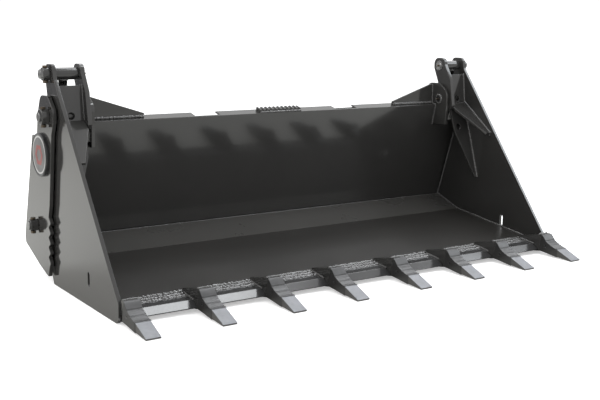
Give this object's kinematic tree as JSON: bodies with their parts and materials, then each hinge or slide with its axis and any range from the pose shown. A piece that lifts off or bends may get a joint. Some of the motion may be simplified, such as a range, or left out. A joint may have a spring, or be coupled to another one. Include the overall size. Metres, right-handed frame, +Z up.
{
  "type": "four-in-one skid steer bucket",
  "caption": "Clam-jaw loader bucket: leaning rear frame with attach plate, toothed front jaw on a hinge pin each side, and a hydraulic cylinder at each end.",
  "frame": {"origin": "on the ground, under the middle of the bucket", "axes": "+X to the bucket's right across its width, +Y from the teeth to the machine, +Z up"},
  "size_m": [1.932, 1.058, 0.761],
  "materials": {
    "badge_plastic": "black moulded disc",
    "black_paint": "semi-gloss black enamel over welded plate",
    "edge_steel": "black coated cutting edge with a lighter bevel",
    "machined_steel": "machined steel",
    "pin_steel": "dark turned steel pins",
    "rod_chrome": "hard chromed rod",
    "tooth_steel": "dark grey coated cast steel teeth",
    "zinc_steel": "zinc plated bolts and grease nipples"
  },
  "bodies": {
    "rear_frame": {"attach_ledge": "black_paint", "attach_lip": "black_paint", "attach_plate": "black_paint", "attach_ribs": "black_paint", "badge_left": "badge_plastic", "badge_right": "badge_plastic", "base_pin_left": "pin_steel", "base_pin_right": "pin_steel", "bay_tie_left": "black_paint", "bay_tie_right": "black_paint", "belly_plate": "black_paint", "frame_collars": "black_paint", "frame_nipples": "zinc_steel", "frame_pin_bolts": "zinc_steel", "hinge_pin_left": "pin_steel", "hinge_pin_right": "pin_steel", "hinge_plate_left": "black_paint", "hinge_plate_right": "black_paint", "moldboard": "black_paint", "rear_blade": "black_paint", "rear_side_plate_left": "black_paint", "rear_side_plate_right": "black_paint", "step_tread": "black_paint", "top_gusset_left": "black_paint", "top_gusset_right": "black_paint"},
    "clam": {"clam_ear_left": "black_paint", "clam_ear_right": "black_paint", "clam_floor": "black_paint", "clam_rib_left": "black_paint", "clam_rib_right": "black_paint", "clam_side_plate_left": "black_paint", "clam_side_plate_right": "black_paint", "clam_web_left": "black_paint", "clam_web_right": "black_paint", "cutting_edge": "edge_steel", "hinge_tubes": "black_paint", "rod_collars": "black_paint", "rod_nipples": "zinc_steel", "rod_pin_bolts": "zinc_steel", "rod_pin_left": "pin_steel", "rod_pin_right": "pin_steel", "tooth_1": "tooth_steel", "tooth_2": "tooth_steel", "tooth_3": "tooth_steel", "tooth_4": "tooth_steel", "tooth_5": "tooth_steel", "tooth_6": "tooth_steel", "tooth_7": "tooth_steel", "tooth_8": "tooth_steel", "tooth_pins": "pin_steel", "tooth_shanks": "black_paint"},
    "left_barrel": {"cylinder_barrel_left": "black_paint", "cylinder_gland_left": "machined_steel"},
    "right_barrel": {"cylinder_barrel_right": "black_paint", "cylinder_gland_right": "machined_steel"},
    "left_rod": {"cylinder_piston_left": "machined_steel", "cylinder_rod_left": "rod_chrome"},
    "right_rod": {"cylinder_piston_right": "machined_steel", "cylinder_rod_right": "rod_chrome"}
  },
  "joints": [
    {"name": "clam_hinge", "type": "hinge", "parent": "rear_frame", "child": "clam", "pos_m": [0, 0.17047, 0.588], "axis": [1, 0, 0], "range_deg": [-55, 0]},
    {"name": "left_barrel_swing", "type": "hinge", "parent": "rear_frame", "child": "left_barrel", "pos_m": [-0.868, 0.32547, 0.197], "axis": [1, 0, 0], "range_deg": [-11.24, 0]},
    {"name": "right_barrel_swing", "type": "hinge", "parent": "rear_frame", "child": "right_barrel", "pos_m": [0.868, 0.32547, 0.197], "axis": [1, 0, 0], "range_deg": [-11.24, 0]},
    {"name": "left_rod_swing", "type": "hinge", "parent": "clam", "child": "left_rod", "pos_m": [-0.868, 0.19047, 0.728], "axis": [1, 0, 0], "range_deg": [0, 43.86]},
    {"name": "right_rod_swing", "type": "hinge", "parent": "clam", "child": "right_rod", "pos_m": [0.868, 0.19047, 0.728], "axis": [1, 0, 0], "range_deg": [0, 43.86]}
  ],
  "couplings": [
    {"joint": "left_barrel_swing", "follows": "clam_hinge", "ratio": 0.2035},
    {"joint": "left_rod_swing", "follows": "clam_hinge", "ratio": -0.7965},
    {"joint": "right_barrel_swing", "follows": "clam_hinge", "ratio": 0.2035},
    {"joint": "right_rod_swing", "follows": "clam_hinge", "ratio": -0.7965}
  ]
}
